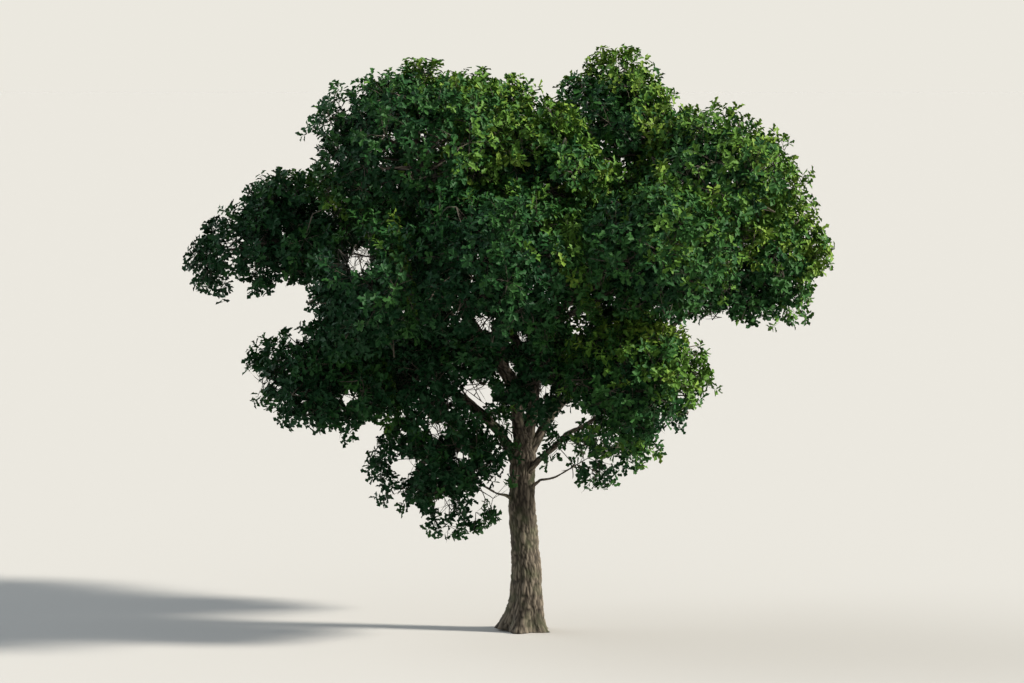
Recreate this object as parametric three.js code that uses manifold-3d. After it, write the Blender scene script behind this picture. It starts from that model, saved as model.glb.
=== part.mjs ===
// A round-crowned field oak in millimetres, +Z up.
// The origin is the middle of the flat cut at ground level.
// +X is the right of the usual view, and +Y leads away from it.
// The trunk forks low into crooked boughs. Each bough ends at the stem of one mass of foliage,
// and every mass keeps to its own space, so that the crown's outline and its gaps come from the masses.
import * as THREE from "three";
import { mergeVertices } from "three/addons/utils/BufferGeometryUtils.js";
import Module from "manifold-3d";

const wasm = await Module();
wasm.setup();

// Trunk
const FORK_HEIGHT = 3300;
const TRUNK_RADIUS = 275; // at breast height
const FORK_RADIUS = 235;
const FLARE = 190; // how far the root flare adds to the radius at the ground
const FLARE_HEIGHT = 360; // the height over which the flare dies away
const ROOT_LOBES = 5;
const ROOT_LOBE_DEPTH = 0.42; // of the flare
const TRUNK_SWAY = 45; // how far the trunk's middle wanders from a plumb line
const TRUNK_SIDES = 16;
const TRUNK_RINGS = 9;

// Boughs
const BOUGH_SIDES = 7;
const BOUGH_RINGS = 7;
const TIP_SHARE = 0.4; // of the radius at the root
const COLLAR = 0.4; // how much thicker a bough is where it leaves its parent
const ROOT_LIMIT = 0.95; // of the parent's radius, the most that a bough's root may have
const ENTRY_SHARE = 0.76; // how far from a mass's heart, towards its space's edge, the bough ends
const FOLLOW_PARENT = 0.75; // how much a bough starts out along its parent, against straight to its mass
const CROOK = 0.055; // how far a bough bends off its smooth line, of its length
const CLEARANCE = 0.3; // between two pieces that meet
const FINEST = 0.2; // detail of the foliage smaller than this is left out

// Masses of foliage
const CROWN_MIDDLE = new THREE.Vector3(-250, 0, 6300);
const CROWN_HALF = new THREE.Vector3(5800, 5000, 4100);
const SPACE_BETWEEN = 70; // between the spaces of two masses
const GROOVE_FILL = 300; // how softly the spaces run together, so that no deep groove is left where they meet
const LIMB_ROOM = 35; // between foliage and a limb that it doesn't grow on
const CORE_SHARE = 0.79; // of the way from the heart to the edge of the space
const CORE_SHARE_INSIDE = 0.9; // the same where the next mass is near
const CORE_LUMPS = 0.16;
const CORE_DETAIL = 1;
const SHOOTS_PER_METRE = 3.75; // directions looked at, for each metre of a mass's mean reach
const OPEN_SHARE = 0.8; // a shoot grows only where its space reaches this far to the mass's own edge
const SHOOT_RADIUS = 26;
const SHOOT_BACK = [300, 460]; // how far before the edge of the space a shoot ends
const SHOOT_FOOT = [0.3, 1.0]; // where on the stem the first and last shoot start
const EDGE_SHARE = 0.985; // how near to the edge the outermost spray of a shoot reaches
const LEAF_LENGTH = [520, 720];
const LEAF_WIDTH_SHARE = 0.68;
const LEAF_THICKNESS_SHARE = 0.05;
const LEAF_BELLY = 0.08; // how far past its middle a spray is widest, of its length
const LEAVES_IN_ROSETTE = 3;
const ROSETTE_LIFT = [0.2, 0.6]; // how far the spreading sprays rise off the crown's surface
const ROSETTE_STEP = 70; // between the roots of two sprays on a shoot
const SHORTER = [1, 0.84, 0.7]; // a spray that would leave its space is tried again at these lengths
const SEARCH = 300; // directions looked at for a mass's leading shoot
const GOLDEN_ANGLE = Math.PI * (3 - Math.sqrt(5));

// Looks
const BARK = new THREE.MeshStandardMaterial({ color: 0x6b5d4c, roughness: 0.95, metalness: 0 });
const DEEP_GREEN = new THREE.MeshStandardMaterial({ color: 0x1f3d1c, roughness: 0.75, metalness: 0 });
const SUNLIT_GREEN = new THREE.MeshStandardMaterial({ color: 0x46662a, roughness: 0.75, metalness: 0 });

// Each mass: the middle of its space, and how far the space reaches along X, Y and Z.
// A dip is how far its left end hangs down, in degrees, and a loose mass has no core.
const MASSES = {
  top_left: { middle: [-1900, -1000, 8620], reach: [2270, 2400, 1560] },
  top_right: { middle: [1700, 700, 8770], reach: [1580, 1950, 1660] },
  back_top: { middle: [-900, 2200, 8600], reach: [2000, 2100, 1450] },
  left_outer: { middle: [-4150, -300, 7100], reach: [2050, 2000, 1120], dip: 28 },
  right_outer: { middle: [4000, 750, 6570], reach: [1560, 2150, 1720] },
  right_shoulder: { middle: [3300, -800, 8000], reach: [1750, 2000, 1560] },
  upper_front: { middle: [450, -1500, 8100], reach: [1250, 1450, 1150] },
  front_right: { middle: [2250, -2900, 6850], reach: [1700, 1850, 1520] },
  front: { middle: [-500, -2800, 6500], reach: [2100, 2050, 1820] },
  front_left: { middle: [-2650, -2700, 6200], reach: [1500, 1750, 1450] },
  back_left: { middle: [-2250, 2550, 6600], reach: [2000, 2200, 1760] },
  back_right: { middle: [1550, 3050, 6700], reach: [2050, 2050, 1760] },
  left_mid: { middle: [-3380, -900, 4480], reach: [1650, 1850, 1120], dip: -16 },
  back_low_left: { middle: [-2800, 1750, 4500], reach: [1400, 1600, 1050] },
  back_low_right: { middle: [1900, 1850, 4600], reach: [1320, 1500, 1220] },
  front_right_low: { middle: [1950, -1950, 4650], reach: [1650, 1600, 1450] },
  inner_left: { middle: [-1400, -1200, 4750], reach: [1350, 1350, 1150] },
  low_left: { middle: [-1400, -700, 3060], reach: [1600, 1300, 1400] },
  low_right: { middle: [1200, -900, 3220], reach: [1150, 900, 620], loose: true },
  crown_middle: { middle: [-100, 200, 7800], reach: [1900, 1800, 1700] },
  inner_back: { middle: [-100, 1450, 4950], reach: [1350, 1200, 1450] },
  inner_front: { middle: [300, -1150, 4800], reach: [950, 1000, 1000] },
};

// The bough of each mass: what it grows from, how far along that, and its radius at the root.
const BOUGHS = {
  top_left: { from: "trunk", along: 0.93, radius: 128 },
  top_right: { from: "trunk", along: 0.96, radius: 122 },
  back_top: { from: "trunk", along: 0.88, radius: 110 },
  left_outer: { from: "trunk", along: 0.84, radius: 106 },
  right_outer: { from: "trunk", along: 0.9, radius: 104 },
  right_shoulder: { from: "top_right", along: 0.5, radius: 70 },
  upper_front: { from: "top_right", along: 0.56, radius: 52 },
  front_right: { from: "top_right", along: 0.34, radius: 74 },
  front: { from: "top_left", along: 0.22, radius: 78 },
  front_left: { from: "left_outer", along: 0.3, radius: 64 },
  back_left: { from: "back_top", along: 0.24, radius: 78 },
  back_right: { from: "back_top", along: 0.34, radius: 74 },
  left_mid: { from: "left_outer", along: 0.38, radius: 58 },
  back_low_left: { from: "left_outer", along: 0.22, radius: 52 },
  back_low_right: { from: "right_outer", along: 0.28, radius: 52 },
  front_right_low: { from: "trunk", along: 0.78, radius: 72 },
  inner_left: { from: "left_outer", along: 0.12, radius: 44 },
  low_left: { from: "trunk", along: 0.66, radius: 50 },
  low_right: { from: "trunk", along: 0.72, radius: 38 },
  crown_middle: { from: "back_top", along: 0.55, radius: 48 },
  inner_back: { from: "trunk", along: 0.82, radius: 46 },
  inner_front: { from: "trunk", along: 0.9, radius: 42 },
};

// A seeded draw of even numbers from 0 to 1, the same each time.
function seededDraw(seed) {
  let state = seed >>> 0;
  return () => {
    state = (Math.imul(state, 1664525) + 1013904223) >>> 0;
    return state / 4294967296;
  };
}

const between = (range, share) => range[0] + (range[1] - range[0]) * share;

// Geometry as a solid that can be joined and cut.
function solidOf(geometry) {
  const bare = geometry.clone();
  bare.deleteAttribute("normal");
  bare.deleteAttribute("uv");
  const merged = mergeVertices(bare, 1e-3);
  return new wasm.Manifold(
    new wasm.Mesh({
      numProp: 3,
      vertProperties: merged.attributes.position.array,
      triVerts: new Uint32Array(merged.index.array),
    }),
  );
}

// The largest body of a solid, as geometry: loose scraps and sealed hollows are left behind.
function geometryOf(solid) {
  const largest = solid.decompose().reduce((a, b) => (b.volume() > a.volume() ? b : a));
  const { vertProperties, triVerts, numProp, numVert } = largest.getMesh();
  const position = new Float32Array(numVert * 3);
  for (let i = 0; i < numVert; i++) {
    position.set(vertProperties.subarray(i * numProp, i * numProp + 3), i * 3);
  }
  const geometry = new THREE.BufferGeometry();
  geometry.setAttribute("position", new THREE.BufferAttribute(position, 3));
  geometry.setIndex(new THREE.BufferAttribute(triVerts, 1));
  geometry.computeVertexNormals();
  return geometry;
}

// A closed skin over rings of points, which all run the same way round, with a fan over each end.
function loft(rings) {
  const sides = rings[0].length;
  const middleOf = (ring) => ring.reduce((sum, p) => sum.add(p), new THREE.Vector3()).divideScalar(sides);
  const points = [...rings.flat(), middleOf(rings[0]), middleOf(rings.at(-1))];
  const [foot, head] = [points.length - 2, points.length - 1];
  const lastRing = (rings.length - 1) * sides;
  const triangles = [];
  for (let s = 0; s < sides; s++) {
    const next = (s + 1) % sides;
    for (let r = 0; r + 1 < rings.length; r++) {
      const [low, high] = [r * sides, (r + 1) * sides];
      triangles.push(low + s, low + next, high + next, low + s, high + next, high + s);
    }
    triangles.push(foot, next, s, head, lastRing + s, lastRing + next);
  }
  return new THREE.BufferGeometry().setFromPoints(points).setIndex(triangles);
}

// Trunk: upright rings on an axis that wanders a little
const trunkAxis = new THREE.CatmullRomCurve3([
  new THREE.Vector3(0, 0, 0),
  new THREE.Vector3(TRUNK_SWAY, -TRUNK_SWAY / 2, FORK_HEIGHT * 0.35),
  new THREE.Vector3(-TRUNK_SWAY, TRUNK_SWAY / 2, FORK_HEIGHT * 0.7),
  new THREE.Vector3(0, 0, FORK_HEIGHT),
]);

function trunkRadius(height, angle) {
  const taper = TRUNK_RADIUS + (FORK_RADIUS - TRUNK_RADIUS) * (height / FORK_HEIGHT);
  const lobes = 1 + ROOT_LOBE_DEPTH * Math.cos(ROOT_LOBES * angle + 0.6);
  const ripple = 1 + 0.035 * Math.sin(3 * angle + height / 700);
  return taper * ripple + FLARE * lobes * Math.exp(-height / FLARE_HEIGHT);
}

// The trunk's body, rounded in at the fork, and grown by this much when it is to be cut out of a neighbour.
function trunkSolid(grown) {
  const ringAt = (share, shrink, lift) => {
    const { x, y, z } = trunkAxis.getPoint(share);
    return Array.from({ length: TRUNK_SIDES }, (_, s) => {
      const angle = (2 * Math.PI * s) / TRUNK_SIDES;
      const radius = trunkRadius(z, angle) * shrink + grown;
      return new THREE.Vector3(x + radius * Math.cos(angle), y + radius * Math.sin(angle), z + lift);
    });
  };
  const shares = Array.from({ length: TRUNK_RINGS + 1 }, (_, i) => 0.97 * (i / TRUNK_RINGS) ** 1.5);
  const rings = shares.map((share) => ringAt(share, 1, 0));
  rings.push(ringAt(0.985, 0.86, grown), ringAt(1, 0.5, grown));
  return solidOf(loft(rings));
}

// Spaces: an ellipsoid for each mass, shared out where two of them meet
for (const [name, mass] of Object.entries(MASSES)) {
  Object.assign(mass, BOUGHS[name]);
  mass.heart = new THREE.Vector3(...mass.middle);
  mass.meanReach = (mass.reach[0] + mass.reach[1] + mass.reach[2]) / 3;
  mass.turn = THREE.MathUtils.degToRad(mass.dip ?? 0);
}

// About how far a point lies outside a mass's own ellipsoid, and less than nothing inside it.
function outside(mass, point) {
  const d = point.clone().sub(mass.heart);
  const [c, s] = [Math.cos(mass.turn), Math.sin(mass.turn)];
  const along = (d.x * c + d.z * s) / mass.reach[0];
  const across = d.y / mass.reach[1];
  const up = (d.z * c - d.x * s) / mass.reach[2];
  return (Math.hypot(along, across, up) - 1) * mass.meanReach;
}

// Whether a point is in a mass's space: nearer to it than to the others, and within its ellipsoid
// or in the groove between that and the next ones.
function inSpace(mass, point) {
  const own = outside(mass, point);
  if (own > GROOVE_FILL) return false;
  const others = Object.values(MASSES).filter((other) => other !== mass);
  const lead = others.map((other) => outside(other, point) - own);
  if (lead.some((ahead) => ahead < SPACE_BETWEEN)) return false;
  const shared = lead.reduce((sum, ahead) => sum + Math.exp(-ahead / GROOVE_FILL), 1);
  return own <= GROOVE_FILL * Math.log(shared);
}

// How far the space reaches from its heart in one direction,
// and what share that is of the mass's whole ellipsoid.
function reachTowards(mass, direction) {
  const at = (distance) => mass.heart.clone().addScaledVector(direction, distance);
  const whole = mass.meanReach / (mass.meanReach + outside(mass, at(1)));
  const step = 20;
  let reach = 0;
  while (inSpace(mass, at(reach + step))) reach += step;
  return { reach, share: Math.min(1, reach / whole) };
}

// Boughs

// A smooth line that some bends are laid over, with both ends kept.
class CrookedCurve extends THREE.Curve {
  constructor(smooth, size, phase) {
    super();
    Object.assign(this, { smooth, size, phase });
  }
  getPoint(t) {
    const bend = this.size * Math.sin(Math.PI * t) ** 2;
    const [a, b] = [this.phase + 8.5 * t, 1.7 * this.phase - 7 * t];
    const crook = new THREE.Vector3(Math.sin(a), Math.cos(a), 0.7 * Math.sin(b));
    return this.smooth.getPoint(t).addScaledVector(crook, bend);
  }
}

const trunk = { curve: trunkAxis, radiusAt: (share) => trunkRadius(share * FORK_HEIGHT, 0) };

function growBough(mass, number) {
  const parent = mass.from === "trunk" ? trunk : MASSES[mass.from].bough;
  const start = parent.curve.getPointAt(mass.along);
  const back = start.clone().sub(mass.heart).normalize();
  const inward = back.clone().negate();
  const entry = mass.heart.clone().addScaledVector(back, reachTowards(mass, back).reach * ENTRY_SHARE);
  const span = start.distanceTo(entry);
  const onward = parent.curve.getTangentAt(mass.along).multiplyScalar(FOLLOW_PARENT).add(inward);
  onward.normalize();
  const smooth = new THREE.CubicBezierCurve3(
    start,
    start.clone().addScaledVector(onward, span * 0.4),
    entry.clone().addScaledVector(inward, -span * 0.3),
    entry,
  );
  const curve = new CrookedCurve(smooth, span * CROOK, 2.4 * number);
  const parentRadius = parent.radiusAt(mass.along);
  const collar = Math.min(COLLAR, (ROOT_LIMIT * parentRadius) / mass.radius - 1);
  const radiusAt = (share) => {
    const taper = mass.radius * (1 - (1 - TIP_SHARE) * share);
    return taper * (1 + collar * Math.exp(-(((share * span) / parentRadius / 1.4) ** 2)));
  };
  mass.bough = { curve, radiusAt, inward };
}

function ringRound(middle, across, up, radius) {
  return Array.from({ length: BOUGH_SIDES }, (_, s) => {
    const angle = (2 * Math.PI * s) / BOUGH_SIDES;
    return middle
      .clone()
      .addScaledVector(across, radius * Math.cos(angle))
      .addScaledVector(up, radius * Math.sin(angle));
  });
}

// The bough's body, and grown by this much when it is to be cut out of a neighbour.
function boughSolid(bough, grown) {
  const frames = bough.curve.computeFrenetFrames(BOUGH_RINGS);
  const rings = frames.tangents.map((_, i) => {
    const share = i / BOUGH_RINGS;
    const past = { 0: -grown, [BOUGH_RINGS]: grown }[i] ?? 0;
    const middle = bough.curve.getPointAt(share).addScaledVector(frames.tangents[i], past);
    return ringRound(middle, frames.normals[i], frames.binormals[i], bough.radiusAt(share) + grown);
  });
  return solidOf(loft(rings));
}

// Foliage

// Even directions all round an axis, the first one along it.
function directionsRound(axis, count) {
  const turn = new THREE.Quaternion().setFromUnitVectors(new THREE.Vector3(0, 0, 1), axis);
  return Array.from({ length: count }, (_, i) => {
    const height = 1 - (2 * (i + 0.5)) / count;
    const round = Math.sqrt(1 - height * height);
    const angle = i * GOLDEN_ANGLE;
    const direction = new THREE.Vector3(round * Math.cos(angle), round * Math.sin(angle), height);
    return direction.applyQuaternion(turn);
  });
}

// The direction of the leading shoot: to the furthest point of the space
// on that side of the crown where the mass lies.
function leadingDirection(mass) {
  const off = mass.heart.clone().sub(CROWN_MIDDLE).divide(CROWN_HALF).toArray();
  const side = off.reduce((best, value, i) => (Math.abs(value) > Math.abs(off[best]) ? i : best), 0);
  const outward = new THREE.Vector3().setComponent(side, Math.sign(off[side]));
  let [best, furthest] = [outward, 0];
  for (const u of directionsRound(outward, SEARCH).slice(0, SEARCH / 3)) {
    const far = reachTowards(mass, u).reach * u.dot(outward);
    if (far > furthest) [best, furthest] = [u, far];
  }
  return best;
}

// The least distance between two straight lines, each given by its ends.
function gapBetween(a, b) {
  const steps = 8;
  const near = new THREE.Vector3();
  const line = new THREE.Line3(b.foot, b.tip);
  let least = Infinity;
  for (let i = 0; i <= steps; i++) {
    const point = a.foot.clone().lerp(a.tip, i / steps);
    line.closestPointToPoint(point, true, near);
    least = Math.min(least, point.distanceTo(near));
  }
  return least;
}

// True where a straight piece of foliage of this half-width keeps off every limb.
function clearOfLimbs(piece, halfWidth) {
  return limbLines.every((limb) => gapBetween(limb, piece) > limb.radius + halfWidth + LIMB_ROOM);
}

// A flat blade of eight faces that stands for one spray of leaves.
function sprayOfLeaves(spray) {
  const across = new THREE.Vector3().crossVectors(spray.facing, spray.way).normalize();
  const up = new THREE.Vector3().crossVectors(spray.way, across).normalize();
  const blade = new THREE.OctahedronGeometry(1, 0);
  const position = blade.attributes.position;
  for (let i = 0; i < position.count; i++) {
    const belly = Math.abs(position.getX(i)) < 0.5 ? LEAF_BELLY : 0;
    position.setX(i, 0.5 + position.getX(i) / 2 + belly);
  }
  const { length } = spray;
  blade.scale(length, (length * LEAF_WIDTH_SHARE) / 2, (length * LEAF_THICKNESS_SHARE) / 2);
  return blade.applyMatrix4(new THREE.Matrix4().makeBasis(spray.way, across, up).setPosition(spray.root));
}

// The spray's blade at the greatest of the allowed lengths
// at which it stays in its space and off the limbs.
function fittedSpray(mass, spray) {
  for (const share of SHORTER) {
    const length = spray.length * share;
    const blade = sprayOfLeaves({ ...spray, length });
    const { position } = blade.attributes;
    const cornerAt = (n) => new THREE.Vector3().fromBufferAttribute(position, n);
    const corners = Array.from({ length: position.count }, (_, n) => cornerAt(n));
    const tip = spray.root.clone().addScaledVector(spray.way, length);
    const clear = clearOfLimbs({ foot: spray.root, tip }, (length * LEAF_WIDTH_SHARE) / 2);
    if (clear && corners.every((corner) => inSpace(mass, corner))) return [solidOf(blade)];
  }
  return [];
}

function shootCone(foot, tip) {
  const length = foot.distanceTo(tip);
  const direction = tip.clone().sub(foot).normalize();
  const cone = new THREE.ConeGeometry(SHOOT_RADIUS, length, 3);
  cone.translate(0, length / 2, 0);
  cone.applyQuaternion(new THREE.Quaternion().setFromUnitVectors(new THREE.Vector3(0, 1, 0), direction));
  return cone.translate(foot.x, foot.y, foot.z);
}

// A lumpy body round the heart of a dense mass, smaller than its space all round.
function coreOf(mass) {
  const core = new THREE.IcosahedronGeometry(1, CORE_DETAIL);
  const position = core.attributes.position;
  for (let i = 0; i < position.count; i++) {
    const u = new THREE.Vector3().fromBufferAttribute(position, i).normalize();
    const { reach, share } = reachTowards(mass, u);
    const lump = 1 + CORE_LUMPS * Math.sin(5 * u.x + 2) * Math.sin(6 * u.y + 1) * Math.sin(5 * u.z);
    const shell = share < 0.99 ? CORE_SHARE_INSIDE : CORE_SHARE * lump;
    const p = mass.heart.clone().addScaledVector(u, reach * shell);
    position.setXYZ(i, p.x, p.y, p.z);
  }
  return core;
}

// One spray that points on outwards to the edge of the space,
// and a rosette of others that spread along the crown.
function spraysOf(mass, shoot, draw) {
  const { u, tip, edge } = shoot;
  const inside = shoot.foot.clone().sub(tip).normalize();
  const side = new THREE.Vector3(-u.y, u.x, 0.01).normalize();
  const turn = draw() * 2 * Math.PI;
  const root = tip.clone().addScaledVector(inside, ROSETTE_STEP);
  const outer = edge.clone().sub(root);
  const facing = side.clone().applyAxisAngle(u, turn);
  const sprays = [{ root, way: outer.clone().normalize(), facing, length: outer.length() }];
  for (let k = 0; k < LEAVES_IN_ROSETTE; k++) {
    const flat = side.clone().applyAxisAngle(u, turn + (k * 2 * Math.PI) / LEAVES_IN_ROSETTE);
    const way = flat.addScaledVector(u, between(ROSETTE_LIFT, draw())).normalize();
    const length = between(LEAF_LENGTH, draw());
    sprays.push({ root: tip.clone().addScaledVector(inside, ROSETTE_STEP * k), way, facing: u, length });
  }
  return sprays.flatMap((spray) => fittedSpray(mass, spray));
}

// A shoot runs from the stem towards one direction's edge.
// It isn't grown where the space is shut in or a limb is near.
function shootTowards(mass, stem, u, draw) {
  const back = between(SHOOT_BACK, draw());
  const { reach, share } = reachTowards(mass, u);
  if (share < OPEN_SHARE) return null;
  const forward = (1 + u.dot(mass.bough.inward)) / 2;
  const foot = stem.at(between(SHOOT_FOOT, forward), new THREE.Vector3());
  const tip = mass.heart.clone().addScaledVector(u, reach - back);
  const edge = mass.heart.clone().addScaledVector(u, reach * EDGE_SHARE);
  return clearOfLimbs({ foot, tip }, SHOOT_RADIUS) ? { u, foot, tip, edge } : null;
}

// The rule by which a mass grows: one stem, shoots that leave it by the golden angle,
// and sprays round each shoot's end.
function growFoliage(mass, seed) {
  const draw = seededDraw(seed);
  const { curve, radiusAt, inward } = mass.bough;
  const frames = curve.computeFrenetFrames(BOUGH_RINGS);
  const stem = new THREE.Line3(curve.getPoint(1).addScaledVector(inward, CLEARANCE), mass.heart);
  const ends = [stem.start, stem.end].map((middle, i) =>
    ringRound(middle, frames.normals.at(-1), frames.binormals.at(-1), radiusAt(1) * (1 - 0.4 * i)),
  );
  const pieces = [solidOf(loft(ends))];
  if (!mass.loose) pieces.push(solidOf(coreOf(mass)));
  const count = Math.round((SHOOTS_PER_METRE * mass.meanReach) / 1000);
  for (const u of [leadingDirection(mass), ...directionsRound(inward, count)]) {
    const shoot = shootTowards(mass, stem, u, draw);
    if (shoot) pieces.push(solidOf(shootCone(shoot.foot, shoot.tip)), ...spraysOf(mass, shoot, draw));
  }
  return wasm.Manifold.union(pieces).simplify(FINEST);
}

// Assembly
const tree = new THREE.Group();

function addPiece(name, solid, material) {
  const mesh = new THREE.Mesh(geometryOf(solid), material);
  mesh.name = name;
  tree.add(mesh);
}

addPiece("trunk", trunkSolid(0), BARK);
const grownLimbs = [trunkSolid(CLEARANCE)];
const limbLines = [];
Object.entries(MASSES).forEach(([name, mass], number) => {
  growBough(mass, number);
  const { curve, radiusAt } = mass.bough;
  const cut = grownLimbs.reduce((solid, limb) => solid.subtract(limb), boughSolid(mass.bough, 0));
  addPiece("bough_" + name, cut, BARK);
  grownLimbs.push(boughSolid(mass.bough, CLEARANCE));
  for (let i = 0; i < BOUGH_RINGS; i++) {
    const [foot, tip] = [curve.getPointAt(i / BOUGH_RINGS), curve.getPointAt((i + 1) / BOUGH_RINGS)];
    limbLines.push({ foot, tip, radius: radiusAt(i / BOUGH_RINGS) });
  }
});

const allLimbs = wasm.Manifold.union([trunkSolid(LIMB_ROOM), ...grownLimbs]);
Object.entries(MASSES).forEach(([name, mass], number) => {
  const foliage = growFoliage(mass, 101 + 17 * number).subtract(allLimbs);
  addPiece("leaves_" + name, foliage, mass.middle[0] > 0 ? SUNLIT_GREEN : DEEP_GREEN);
});

export default tree;
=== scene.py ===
"""A round-crowned field oak: bark on its trunk and boughs, and leaves on twigs in every mass of its crown."""
import math

import bmesh
import bpy
import numpy as np
from mathutils import Matrix, Vector, noise


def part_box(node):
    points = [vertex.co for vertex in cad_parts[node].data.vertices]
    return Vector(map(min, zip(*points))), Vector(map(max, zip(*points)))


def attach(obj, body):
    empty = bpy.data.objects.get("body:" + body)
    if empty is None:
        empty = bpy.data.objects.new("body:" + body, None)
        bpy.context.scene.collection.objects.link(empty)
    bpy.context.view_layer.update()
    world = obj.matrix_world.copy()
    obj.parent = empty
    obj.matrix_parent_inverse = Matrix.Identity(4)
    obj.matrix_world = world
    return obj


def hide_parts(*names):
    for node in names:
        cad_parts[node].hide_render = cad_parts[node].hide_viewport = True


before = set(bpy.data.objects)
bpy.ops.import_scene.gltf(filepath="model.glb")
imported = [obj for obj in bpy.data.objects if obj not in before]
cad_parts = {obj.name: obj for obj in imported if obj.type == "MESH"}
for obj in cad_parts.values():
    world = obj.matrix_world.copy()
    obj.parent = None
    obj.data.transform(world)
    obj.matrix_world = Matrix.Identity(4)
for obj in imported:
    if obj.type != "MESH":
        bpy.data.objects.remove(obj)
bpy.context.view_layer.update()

# All lengths are in metres

# Camera
CAMERA_AIM = Vector((-0.22, 0, 5.15))
CAMERA_DISTANCE = 68
CAMERA_RISE = math.radians(4)
CAMERA_LENS = 135
CAMERA_SEES_TO = 2000

# Studio: the sky's pale band meets the floor in the floor's own tone
LAMPS = {
    "key": {"towards": (0.86, -0.16, 0.5), "energy": 7.6, "softness": 7, "tone": (1.0, 0.95, 0.86)},
    "fill": {"towards": (-0.78, 0.32, 0.5), "energy": 2.1, "softness": 60, "tone": (0.9, 0.95, 1.0)},
}
FLOOR_RADIUS = 3000
FLOOR_SIDES = 64
FLOOR_COLOUR = (0.46, 0.444, 0.42, 1)
HORIZON_TONE = (0.832, 0.808, 0.739, 1)
SKY_TONE = (0.29, 0.34, 0.38, 1)
BAND_TOP = (0.06, 0.25)  # the rise of a direction at which the band ends and the sky's own tone begins

# Trunk
FORK_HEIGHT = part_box("trunk")[1].z
TRUNK_RADIUS = 0.275
FORK_RADIUS = 0.235
FLARE = 0.19  # how much the root flare adds to the radius at the ground
FLARE_HEIGHT = 0.36  # the height over which the flare dies away
ROOT_LOBES = 5
ROOT_LOBE_DEPTH = 0.42  # of the flare
ROOT_LOBE_TURN = 0.6  # in radians
RIPPLES_ROUND = 3
RIPPLE_DEPTH = 0.035  # of the radius
RIPPLE_RISE = 0.7  # the height over which the ripples turn by a radian
TRUNK_SWAY = 0.05  # how far the trunk's middle wanders from a plumb line
TRUNK_POINTS = 80
TRUNK_SIDES = 132
TRUNK_TOP_SHARE = 0.05  # of the height, rounded in at the fork
TRUNK_TOP_LOSS = 0.5  # of the radius, which that rounding takes away

# Boughs
TIP_SHARE = 0.4  # of the radius at the root
COLLAR = 0.4  # how much thicker a bough is where it leaves its parent
COLLAR_LENGTH = 1.4  # of the parent's radius
ROOT_LIMIT = 0.95  # of the parent's radius, the most that a bough's root may have
ENTRY_SHARE = 0.76  # how far from a mass's heart, towards its space's edge, the bough ends
FOLLOW_PARENT = 0.75  # how much a bough starts out along its parent, against straight to its mass
ROOT_LEVER = 0.4  # how strongly it keeps to its first direction, of its length
ENTRY_LEVER = 0.3  # how strongly it takes up its last direction, of its length
CROOK = 0.055  # how far a bough bends off its smooth line, of its length
CROOK_PHASE = 2.4  # radians from one bough to the next
LEVEL_BENDS = 8.5  # radians along a bough
UPRIGHT_BENDS = 7
UPRIGHT_PHASE = 1.7  # of the level one
UPRIGHT_CROOK = 0.7  # of the level one
BOUGH_POINTS = 120
BOUGH_OVAL = 0.05  # how far its section is out of round, of its radius
OVAL_TWIST = 5  # radians along a bough
LEAST_BOUGH_SIDES = 18
SIDES_PER_RADIUS = 260  # more sides for each metre of radius at its root
TANGENT_STEP = 0.01

# Bark relief
PLATE_WIDTH = 0.068
PLATE_LENGTH = 0.3
PLATE_WANDER = 0.7  # how far the plates' borders wander, of a plate
WANDERS_PER_METRE = 9
FISSURE_WIDTH = 0.5  # of a plate
FISSURE_DEPTH = 0.028  # on the trunk
RELIEF_PER_RADIUS = 5  # of the trunk's depth, for each metre of a bough's radius at its root
MOST_BOUGH_RELIEF = 0.75
SWELL = 0.05  # how far the surface swells besides, of the radius
SWELLS_PER_METRE = 2.6
FEWEST_RINGS = 12
RINGS_PER_METRE = 21.15  # on the trunk, and more where the relief is lower
LEAST_RING_RELIEF = 0.35

# Spaces of the masses of foliage
CROWN_MIDDLE = np.array([-0.25, 0.0, 6.3])
CROWN_HALF = np.array([5.8, 5.0, 4.1])
SPACE_BETWEEN = 0.05  # between the spaces of two masses
LEAF_OVERLAP = 0.09  # how far past its space's shared border a leaf may reach, so that no straight gap shows
GROOVE_FILL = 0.3  # how softly the spaces run together, so that no deep groove is left where they meet
REACH_STEP = 0.02
REACH_STEPS = 149
SEARCH = 300  # directions looked at all round for a mass's leading shoot
GOLDEN_ANGLE = math.pi * (3 - math.sqrt(5))

# Stem and shoots of a mass
FIRST_SEED = 101
SEED_STEP = 17
STEM_TAPER = 0.6
STEM_SIDES = 8
SHOOTS_PER_METRE = 12  # of a mass's mean reach
SHOOT_FOOT = 0.3  # where on the stem the first shoot starts
SHOOT_FEET = 0.7  # of the stem, over which all of them start
SHOOT_SHARE = 0.72  # of the way from the heart to the edge of the space
SHOOT_BEND = 0.06
SHOOT_ROOT = 0.5  # of the stem's radius
SHOOT_TIP = 0.008
SHOOT_JOINTS = 5
SHOOT_SIDES = 4
SHOOT_FULLNESS = (0.89, 1.01)  # how far a shoot's tufts reach, of its space's reach

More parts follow.
